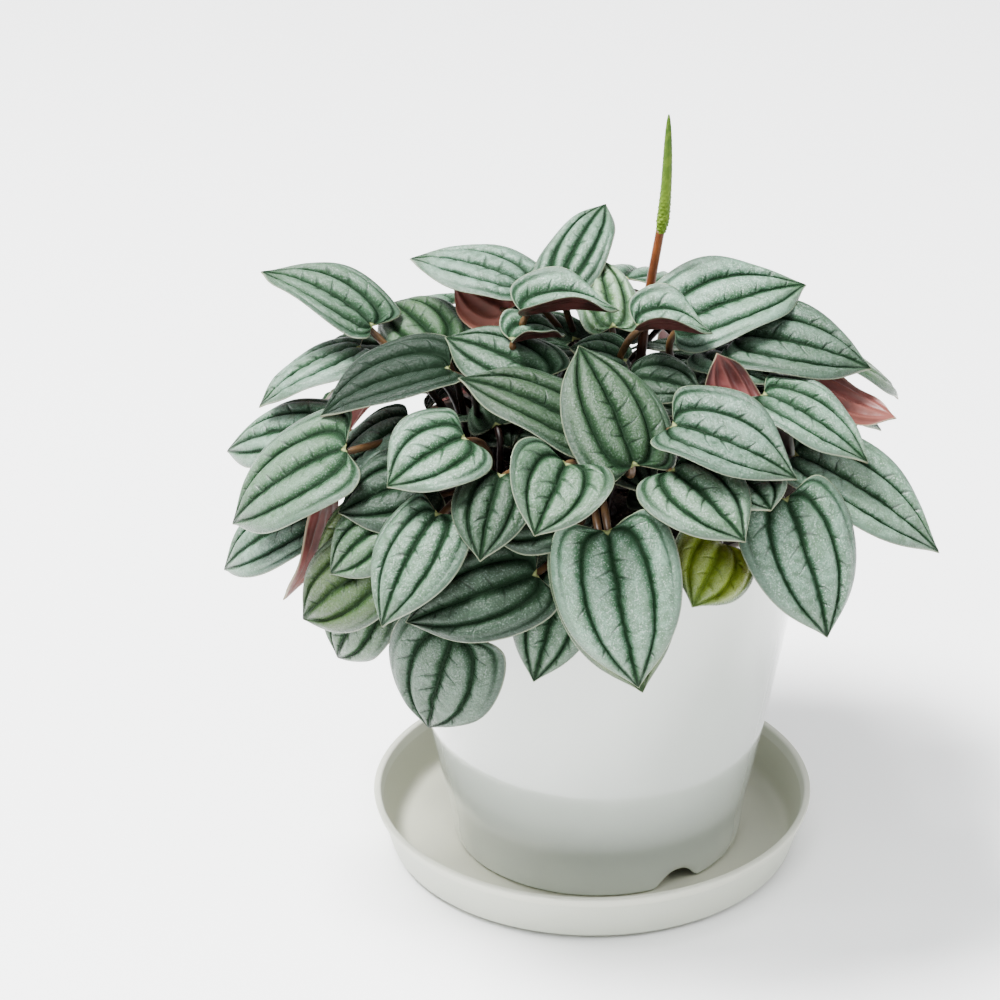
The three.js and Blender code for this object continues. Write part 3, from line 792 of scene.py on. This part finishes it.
def rib_mask(bench, m, start, reach, step):
    """The slanted side veins beside a vein: the same rule as in the mesh, as nodes, and each one
    reaches as far as its own draw says."""
    away = bench.times(bench.math("SUBTRACT", m.off, start), m.half)
    slant = bench.times(away, bench.math("MULTIPLY_ADD", away, RIB_SLANT[1], RIB_SLANT[0]))
    side = bench.math("GREATER_THAN", m.t, 0.0)
    phase = bench.math("DIVIDE", bench.math("SUBTRACT", m.along, slant), RIB_PITCH)
    phase = bench.math("ADD", phase, bench.math("ADD", m.shift, step))
    phase = bench.math("ADD", phase, bench.times(side, 0.5))
    nearest = bench.math("ROUND", phase)
    luck = bench.noise(bench.join(bench.times(nearest, 0.37), side, m.shift), 3.1, 0.0)
    far = bench.times(m.half, bench.smooth(luck, 0.35, 0.65, 0.25 * reach, 1.15 * reach))
    fade = bench.smooth(bench.math("DIVIDE", away, far), 0.15, 1.0, 1.0, 0.0)
    fade = bench.times(fade, bench.math("GREATER_THAN", away, 0.0))
    gap = bench.times(bench.math("ABSOLUTE", bench.math("SUBTRACT", phase, nearest)), RIB_PITCH)
    return bench.times(bench.bell(gap, bench.math("MULTIPLY_ADD", fade, 0.3, 0.12)), fade)


def inside(bench, at):
    """How deep a point lies under the dome of leaves: one less its distance from the dome's centre, counted
    in the dome's own radii."""
    total = 0.0
    for part, middle, radius in zip(bench.parts(at), DOME, DOME_RADII):
        share = bench.math("DIVIDE", bench.math("SUBTRACT", part, middle / 1000), radius / 1000)
        total = bench.math("ADD", bench.times(share, share), total)
    return bench.math("SUBTRACT", 1.0, bench.math("SQRT", total))


def add_face_masks(bench, at, m):
    """Adds veins, dashes and shade to the map. The lines waver a little, most of all near the midrib."""
    wobble = bench.math("MULTIPLY_ADD", bench.noise(at, 150, 2), 0.12, -0.06)
    wobble = bench.times(wobble, bench.math("SUBTRACT", 1.0, m.off))
    m.off = bench.math("ABSOLUTE", bench.math("ADD", m.t, wobble))
    middle, first, second = vein_distances(bench, m)
    narrow = lambda start, end: bench.smooth(m.s, 0.0, 0.9, start, end)
    outer = bench.smooth(m.s, 0.2, 0.7, 0.7, 0.05)
    inner = bench.smooth(m.s, 0.5, 0.95, 1.0, 0.45)
    spread = bench.math("MULTIPLY_ADD", m.shift, 0.5, 0.55)
    m.veins = bench.strongest(
        bench.bell(middle, narrow(0.85, 0.38)),
        bench.bell(first, narrow(0.7, 0.33)),
        bench.times(bench.bell(second, 0.4), outer),
    )
    m.dashes = bench.strongest(*[rib_mask(bench, m, at, reach, step) for at, _, reach, step in RIBS])
    m.shade = bench.strongest(
        bench.bell(middle, bench.times(spread, narrow(3.0, 1.25))),
        bench.times(bench.bell(first, bench.times(spread, narrow(2.4, 1.05))), inner),
        bench.times(bench.bell(second, 1.0), outer),
        bench.smooth(m.s, 0.0, 0.3, 0.75, 0.0),
    )


# %% [markdown]
# The upper face is painted in coats. First comes the skin: silver, streaked and clouded, made greener or
# yellower by the leaf's look, then pits, painted glints of light, a darker margin and tip. Over it go shade,
# dashes and veins, the leaf's darkness, which is partly its own tone and partly painted shade, faint painted
# sparks of light, a pale line along the edge, a pale dot where the stalk joins, and painted shade deep inside
# the dome.

# %% Upper face of the leaf
def silver_skin(bench, at, m):
    m.streak = bench.noise(bench.join(m.along, bench.times(m.across, 0.6), m.shift), 0.5, 3, 0.6)
    m.grain, m.glitter = bench.noise(at, 1500, 3, 0.7), bench.noise(at, 2300, 1)
    cloud = bench.noise(at, 75, 3)
    yellow = bench.number("yellow")
    m.plain = bench.math("MULTIPLY_ADD", yellow, -0.85, 1.0)
    m.bold = bench.math("MULTIPLY_ADD", yellow, -0.75, 1.0)
    green_skin = bench.mix(m.streak, everyday(44, 88, 42), everyday(92, 140, 82))
    lime_skin = bench.mix(cloud, everyday(84, 106, 12), everyday(146, 162, 36))
    silver = bench.mix(bench.smooth(m.streak, 0.3, 0.7), everyday(69, 102, 77), everyday(117, 153, 132))
    silver = bench.coats(silver, (bench.smooth(cloud, 0.45, 0.7, 0.0, 0.5), (76, 112, 78)))
    return bench.coats(
        bench.mix(yellow, bench.mix(bench.number("green"), silver, green_skin), lime_skin),
        (bench.times(bench.smooth(m.grain, 0.42, 0.62, 0.0, 0.55), m.plain), (60, 90, 70)),
        # Painted highlights: pale glints on the glitter
        (bench.times(bench.smooth(m.glitter, 0.54, 0.68, 0.0, 0.42), m.plain), (204, 220, 210)),
        (bench.smooth(m.off, 0.8, 0.97, 0.0, 0.7), (62, 92, 72)),
        (bench.smooth(m.off, 0.9, 0.98, 0.0, 0.5), (36, 62, 44)),
        (bench.smooth(m.s, 0.65, 0.98, 0.0, 0.65), (60, 88, 54)),
    )


def leaf_face():
    bench = Bench("silver leaf face")
    at = bench.place()
    m = blade_map(bench)
    add_face_masks(bench, at, m)
    silver = silver_skin(bench, at, m)
    dark = bench.number("dark")
    calm = bench.times(m.plain, bench.math("SUBTRACT", 1.0, m.shade, clamp=True))
    color = bench.coats(
        silver,
        (bench.times(m.shade, m.bold, 0.8), (28, 54, 32)),
        (bench.times(m.dashes, m.bold, 0.85), (20, 46, 24)),
        (bench.times(m.veins, m.bold, 0.92), (12, 34, 16)),
        # The leaf's darkness: partly its own tone, partly painted shade on leaves that lie in shadow
        (bench.math("MULTIPLY_ADD", dark, 0.7, 0.23), (16, 28, 18)),
        # Faint painted highlights: pale sparks on the glitter, kept off the shade
        (bench.times(bench.smooth(m.glitter, 0.5, 0.72, 0.0, 0.12), calm), (128, 156, 140)),
        (bench.smooth(from_edge(bench, m), 0.1, 0.42, 0.42, 0.0), (150, 158, 130)),
        (bench.smooth(bench.squares(m.along, m.across), 0.5, 2.2, 0.8, 0.0), (138, 146, 96)),
        # Painted shade: darker deep inside the dome
        (bench.smooth(inside(bench, at), 0.12, 0.5, 0.0, 0.7), (10, 16, 10)),
    )
    sunk = bench.times(bench.strongest(m.veins, bench.times(m.dashes, 0.7)), -1.0)
    height = bench.math("MULTIPLY_ADD", m.grain, 0.6, sunk)
    bench.bump(bench.math("MULTIPLY_ADD", m.streak, 0.6, height), 0.8, 0.0008)
    matte = bench.math("MULTIPLY_ADD", dark, -0.7, 1.0)
    gloss = bench.times(bench.smooth(m.shade, 0.1, 0.7, 0.6, 0.06), matte)
    bench.wire(gloss, bench.shader.inputs["Specular IOR Level"])
    return bench.paint(color, bench.smooth(m.glitter, 0.35, 0.75, 0.38, 0.2))


# %% [markdown]
# Underneath, the blade is wine red and smoother, with slightly paler veins. Painted shade dims it inside the
# dome and by the leaf's look, which can also lighten it to pink. Where a leaf has turned over, this side
# shows.

# %% Underside of the leaf and the stalk
def leaf_underside():
    bench = Bench("wine red underside", Specular_IOR_Level=0.25)
    at = bench.place()
    m = blade_map(bench)
    middle, first, _ = vein_distances(bench, m)
    veins = bench.strongest(bench.bell(middle, 1.0), bench.bell(first, 0.6))
    cloud = bench.noise(at, 110, 3)
    under = bench.number("under")
    dome_shade = bench.smooth(inside(bench, at), 0.12, 0.4, 0.0, 0.85)
    color = bench.coats(
        bench.mix(bench.smooth(cloud, 0.3, 0.7), everyday(58, 24, 22), everyday(98, 48, 46)),
        (bench.times(veins, 0.3), (112, 60, 52)),
        (bench.smooth(from_edge(bench, m), 0.1, 0.6, 0.7, 0.0), (136, 132, 106)),
        # Painted shade: darker inside the dome and by the leaf's look
        (bench.math("ADD", dome_shade, under, clamp=True), (14, 8, 7)),
        (bench.times(under, -0.7), (150, 98, 84)),
    )
    bench.bump(bench.math("MULTIPLY_ADD", bench.noise(at, 1400, 2), 0.3, veins), 0.3, 0.0004)
    return bench.paint(color, bench.smooth(cloud, 0.2, 0.8, 0.36, 0.5))


def stalk_skin(name, pale, bright):
    """Pale to bright where light reaches the stalk; deep inside the dome painted shade makes it nearly black.
    """
    bench = Bench(name, Roughness=0.38, Specular_IOR_Level=0.25)
    at = bench.place()
    cloud = bench.noise(at, 120, 3)
    speck = bench.noise(at, 1300, 2)
    # Painted shade: the stalk darkens to nearly black deep inside the dome
    lit = bench.smooth(inside(bench, at), 0.1, 0.42, 1.0, 0.0)
    painted_shade_color = bench.mix(cloud, everyday(16, 8, 6), everyday(28, 14, 10))
    lit_color = bench.mix(bench.smooth(cloud, 0.3, 0.7), everyday(*pale), everyday(*bright))
    color = bench.mix(lit, painted_shade_color, lit_color)
    color = bench.coats(color, (bench.smooth(speck, 0.6, 0.75, 0.0, 0.4), (74, 38, 26)))
    bench.bump(speck, 0.25, 0.0003)
    return bench.paint(color)


# %% [markdown]
# ## Stalks and crowns
# Each blade hangs from a juicy stalk that climbs from its crown, bends over and comes up from behind. A
# curve object with a bevel would do, but a tube worked out from the same four control points as the solids
# stays exactly on them, and lets the stalk swell at its foot and thin out at the blade.

# %% Stalks and crowns
STALK = dict(radius=1.15, inside=0.07, below=0.7, least=34.0, foot=2.6, sunk=3.0)
STALK.update(swell=0.35, waist=0.12, thinner=0.4)
STEM = dict(radius=5.5, up=5.0, deep=8.0)


def tube(route, radius, reference, sides=12):
    """Rings round a route: at each point, two directions square to it carry a circle of the radius."""
    tangent = unit(np.gradient(route, axis=0))
    across = unit(reference - tangent * (tangent @ reference)[:, None])
    over = np.cross(tangent, across)
    turn = -np.linspace(0, 2 * np.pi, sides, endpoint=False)
    circle = across[:, None] * np.cos(turn)[:, None] + over[:, None] * np.sin(turn)[:, None]
    rows = route[:, None] + circle * radius[:, None, None]
    ends = [np.repeat(route[k][None, None], sides, axis=1) for k in (0, -1)]
    return np.concatenate([ends[0], rows, ends[1]])


def stalk(leaf, axes, middle):
    """A cubic curve: up from the crown, over, and into the blade from behind. It is thickest at its foot,
    has a slight waist, and thins out where the blade begins."""
    x, _, z, length = axes
    end, _ = blade_point(np.array([STALK["inside"]]), np.array([0.0]), leaf, axes)
    end = end[0] - z * STALK["below"]
    before = end - x * 0.32 * length - z * 0.22 * length
    outwards = unit(np.array([end[0] - middle[0], end[1] - middle[1], 0.0]))
    foot = middle + outwards * STALK["foot"]
    rise = foot + np.array([0, 0, max(0.55 * (end[2] - foot[2]), STALK["least"])])
    u = np.linspace(0, 1, 26)[:, None]
    route = (1 - u) ** 3 * foot + 3 * u * (1 - u) ** 2 * rise + 3 * u ** 2 * (1 - u) * before + u ** 3 * end
    u = u[:, 0]
    swell = 1 + STALK["swell"] * np.exp(-(u / 0.12) ** 2) - STALK["waist"] * np.sin(np.pi * u)
    thin = 1 - STALK["thinner"] * np.exp(-((1 - u) / 0.07) ** 2)
    thick = STALK["radius"] * swell * thin
    return tube(route, thick, np.cross([0, 0, 1.0], outwards))


def stem(x, y):
    """The crown itself: a stubby cone with a rounded head and rings of old leaf scars."""
    height = np.linspace(-STEM["deep"], STEM["up"], 24)
    share = (height + STEM["deep"]) / (STEM["up"] + STEM["deep"])
    radius = STEM["radius"] * (1 - 0.1 * share) * (1 + 0.05 * np.sin(height * 2.6))
    radius[-3:] *= [0.97, 0.88, 0.7]
    route = np.stack([x + 0 * height, y + 0 * height, SOIL["top"] + height], axis=-1)
    return tube(route, radius, np.array([1.0, 0, 0]), 28)


# %% [markdown]
# Small young leaves push up between the stalks and keep the middle of the dome dark and full; their look
# paints them dark, as painted shade. They are the same blade with every third ring, set round each crown by
# even turns and seeded draws. The crown in the middle has more of them, and they reach higher.

# %% Young leaves
YOUNG = dict(count=8, length=(15, 23), width=(13, 19), away=(7, 17), height=(20, 47), every=3)
CENTRAL = dict(within=20, count=13, lift=16)
ROOM = 76


def young_leaves(x, y, draw):
    """Even bearings round the crown with a seeded swing. Each blade starts away from the crown and leads on
    outwards; one whose tip would lie further than ROOM from the pot's axis is left out."""
    found = []
    central = math.hypot(x, y) < CENTRAL["within"]
    count = CENTRAL["count"] if central else YOUNG["count"]
    low, high = YOUNG["height"]
    high = high + CENTRAL["lift"] * central
    for k in range(count):
        bearing = 2 * math.pi * (k + draw.uniform(0, 0.7)) / count
        outwards = np.array([math.cos(bearing), math.sin(bearing), 0])
        start = np.array([x, y, SOIL["top"] + draw.uniform(low, high)])
        start = start + outwards * draw.uniform(*YOUNG["away"])
        tip = start + outwards * draw.uniform(*YOUNG["length"]) + np.array([0, 0, draw.uniform(-5, 3)])
        if np.hypot(*(tip[:2] - [POT["x"], POT["y"]])) < ROOM:
            found.append((start, tip, draw.uniform(*YOUNG["width"]), 0, -0.1, 0.08, "young"))
    return found


# %% [markdown]
# Now every crown is put together as one mesh: blades with an upper and a lower finish, stalks and stem. A
# turned leaf swaps the two finishes.

# %% Grow the crowns
def grow(name, finishes):
    draw = np.random.default_rng(sum(map(ord, name)))
    x, y = CROWNS[name]
    middle = np.array([x, y, SOIL["top"] + STEM["up"] - STALK["sunk"]])
    parts = [skin(stem(x, y), material=2)]
    for row in LEAVES[name] + young_leaves(x, y, draw):
        leaf = (np.array(row[0], float), np.array(row[1], float), *row[2:])
        axes = blade_axes(leaf[0], leaf[1], leaf[3])
        made = blade(leaf, axes, draw, YOUNG["every"] if leaf[6] == "young" else 1)
        lower = np.broadcast_to((RING_FACE < 0) | (np.roll(RING_FACE, -1) < 0), made["s"].shape)
        if leaf[6] == "turned":
            lower = ~lower
        parts.append(skin(made["rows"], lower[:-1].astype(int), (made["s"], made["t"]), made["numbers"]))
        parts.append(skin(stalk(leaf, axes, middle), material=2))
    return make_piece(name + "_leaves", finishes, parts)


finishes = [leaf_face(), leaf_underside(), stalk_skin("brown stalk", (42, 28, 15), (72, 52, 29))]
for crown_name in CROWNS:
    crown_piece = grow(crown_name, finishes)
    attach(crown_piece, "root")
    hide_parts(crown_name)
    print(crown_name, "leaves:", len(LEAVES[crown_name]), "triangles:", triangles(crown_piece))

# %% [markdown]
# ## The flower spike
# One flower spike stands above the leaves: an amber stalk and a slim green spadix beset with tiny beads.
# The beads are a rule too, a product of waves round and along it, in rows that step half a bead each time.

# %% Flower spike
SPIKE_ROUTE = np.array([[12, 8, 114], [12, 4, 140], [14, 0, 162], [16, 0, 180], [19, 0, 199]], float)
SPIKE = dict(stalk=1.5, spadix=1.9, beads_round=7, beads_long=34, bow=0.7)
SPADIX_TIP = np.array([21.0, 0, 234])


def smooth_route(points, count):
    """A smooth curve through all the points: each span is a cubic that leans along its neighbours."""
    p = np.concatenate([[2 * points[0] - points[1]], points, [2 * points[-1] - points[-2]]])
    at = np.linspace(0, len(points) - 1 - 1e-9, count)
    k = at.astype(int)
    u = (at - k)[:, None]
    a, b, c, d = p[k], p[k + 1], p[k + 2], p[k + 3]
    bend = (2 * a - 5 * b + 4 * c - d) * u ** 2 + (3 * b - a - 3 * c + d) * u ** 3
    return 0.5 * (2 * b + (c - a) * u + bend)


def spadix():
    """Rings along an axis that bows a little: the radius swells near the foot and tapers to the tip, times
    beads that are bold low down and faint above."""
    u = np.linspace(0, 1, 150)[:, None]
    turn = -np.linspace(0, 2 * np.pi, 56, endpoint=False)[None, :]
    foot = SPIKE_ROUTE[-1] - np.array([0, 0, 1.0])
    swell = np.minimum(1, 0.66 + 3 * u) * (1 - 0.42 * u ** 1.6)
    closing = np.sqrt(np.clip(1 - u ** 6, 0, 1)) * np.minimum(1, (u + 0.004) * 60) ** 0.5
    row = u * SPIKE["beads_long"]
    half_bead = np.pi / 2 * np.floor(row)
    beads = np.abs(np.sin(np.pi * row)) * np.abs(np.cos(SPIKE["beads_round"] / 2 * turn + half_bead))
    proud = (0.04 + 0.2 * np.clip(1 - u / 0.4, 0, 1)) * np.clip((0.96 - u) * 8, 0, 1)
    radius = SPIKE["spadix"] * swell * closing * (0.9 + beads * proud)
    axis = unit(SPADIX_TIP - foot)
    across = unit(np.cross([0, 1.0, 0], axis))
    over = np.cross(axis, across)
    bow = np.array([SPIKE["bow"], 0, 0]) * np.sin(np.pi * u ** 0.7)
    centre = foot + (SPADIX_TIP - foot) * u + bow
    circle = np.cos(turn)[..., None] * across + np.sin(turn)[..., None] * over
    rows = centre[:, None] + radius[..., None] * circle
    rows[0], rows[-1] = foot, SPADIX_TIP
    return rows


def spadix_skin():
    bench = Bench("green spadix", Roughness=0.5, Specular_IOR_Level=0.15)
    at = bench.place()
    cloud = bench.noise(at, 500, 3)
    tall = bench.smooth(bench.parts(at)[2], 0.199, 0.234)
    color = bench.mix(tall, everyday(82, 106, 24), everyday(50, 78, 18))
    color = bench.coats(color, (bench.smooth(cloud, 0.4, 0.7, 0.0, 0.5), (100, 122, 34)))
    bench.bump(cloud, 0.3, 0.0003)
    return bench.paint(color)


spike_rings = 60
spike_radius = SPIKE["stalk"] * (1.15 - 0.3 * np.linspace(0, 1, spike_rings))
spike_stalk = tube(smooth_route(SPIKE_ROUTE, spike_rings), spike_radius, np.array([0, 1.0, 0]))
spike_parts = [
    skin(spike_stalk, material=1),
    skin(stem(*SPIKE_ROUTE[0, :2]), material=1),
    skin(spadix(), material=0),
]
amber = stalk_skin("amber stalk", (76, 37, 15), (112, 60, 26))
spike_piece = make_piece("flower_spike_beads", [spadix_skin(), amber], spike_parts)
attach(spike_piece, "root")
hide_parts("flower_spike")
print("spike triangles:", triangles(spike_piece))

# %% [markdown]
# ## Floor, light and camera
# The object stands on a plain pale floor in soft light: a broad sky, a large key lamp from the upper left
# and weak ones from the front and the right. The floor glows a little, which is painted light; the glow is
# left out under the saucer, so that the shadow there stays, and fades in round its foot as a painted soft
# shadow. The camera looks down a little, through a long lens.

# %% Floor
FLOOR = dict(radius=6.0, sides=64, below=0.0002, glow_from=0.058, glow_full=0.072, glow=0.34)


def floor():
    bench = Bench("pale floor", Roughness=0.55)
    bench.shader.inputs["Emission Color"].default_value = (1, 1, 1, 1)
    x, y, _ = bench.parts(bench.place())
    away = bench.math("SQRT", bench.squares(x, y))
    # Painted light: the floor glows, fading out towards the saucer into a painted soft shadow round its foot
    glow = bench.smooth(away, FLOOR["glow_from"], FLOOR["glow_full"], 0.0, FLOOR["glow"])
    bench.wire(glow, bench.shader.inputs["Emission Strength"])
    bench.paint((0.92, 0.92, 0.92))
    turn = np.linspace(0, 2 * np.pi, FLOOR["sides"], endpoint=False)
    circle = np.stack([np.cos(turn), np.sin(turn)], axis=-1) * FLOOR["radius"]
    points = np.pad(circle, ((0, 0), (0, 1)), constant_values=-FLOOR["below"])
    mesh = bpy.data.meshes.new("floor")
    mesh.from_pydata(points.tolist(), [], [list(range(FLOOR["sides"]))])
    mesh.materials.append(bench.material)
    piece = put("floor", mesh)
    piece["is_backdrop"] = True


floor()


# %% Light
def lamp(name, place, aim, size, power, color=(1, 1, 1)):
    light = bpy.data.lights.new(name, "AREA")
    light.size = size
    light.energy = power
    light.color = color
    holder = put(name, light)
    holder.location = place
    holder.rotation_euler = (Vector(aim) - Vector(place)).to_track_quat("-Z", "Y").to_euler()


def sky():
    """A soft sky: bright overhead, dimmer towards the horizon, by the height of each direction."""
    world = bpy.data.worlds.new("studio")
    world.use_nodes = True
    nodes, links = world.node_tree.nodes, world.node_tree.links
    direction = nodes.new("ShaderNodeTexCoord")
    parts = nodes.new("ShaderNodeSeparateXYZ")
    ramp = nodes.new("ShaderNodeMapRange")
    for socket, value in zip(("From Min", "From Max", "To Min", "To Max"), (-0.1, 0.9, 0.3, 1.15)):
        ramp.inputs[socket].default_value = value
    links.new(direction.outputs["Generated"], parts.inputs[0])
    links.new(parts.outputs["Z"], ramp.inputs["Value"])
    links.new(ramp.outputs[0], nodes["Background"].inputs["Strength"])
    nodes["Background"].inputs["Color"].default_value = (0.94, 0.97, 1.0, 1)
    bpy.context.scene.world = world


sky()
lamp("key", (-0.7, -0.1, 1.8), (0, 0, 0.12), 0.7, 178)
lamp("fill", (-0.5, -1.2, 1.5), (0, 0, 0.05), 0.7, 18, (0.95, 1.0, 0.99))
lamp("side", (1.4, -0.3, 1.1), (0.1, 0, 0), 0.8, 14)

# %% Camera
def camera():
    pitch, yaw, roll = math.radians(26.380), math.radians(-3.019), math.radians(-0.589)
    ahead = Vector((math.sin(yaw) * math.cos(pitch), math.cos(yaw) * math.cos(pitch), -math.sin(pitch)))
    right = Vector((math.cos(yaw), -math.sin(yaw), 0))
    up = right.cross(ahead)
    across = right * math.cos(roll) + up * math.sin(roll)
    over = up * math.cos(roll) - right * math.sin(roll)
    lens = bpy.data.cameras.new("camera")
    lens.lens = 128.115
    lens.sensor_width = 36
    lens.sensor_height = 36
    holder = put("camera", lens)
    columns = Matrix((across, over, -ahead)).transposed()
    holder.matrix_world = Matrix.Translation((0.022195, -0.938850, 0.579260)) @ columns.to_4x4()
    bpy.context.scene.camera = holder


camera()

# %% [markdown]
# Last, the boxes of the plain solids and of the dressed object are printed, so that their sizes can be
# compared.

# %% Finish
visual_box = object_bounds()
as_lists = [[list(corner) for corner in box] for box in (solid_box, visual_box)]
dict(solids=as_lists[0], visual=as_lists[1])
print("solids", as_lists[0], "visual", as_lists[1])
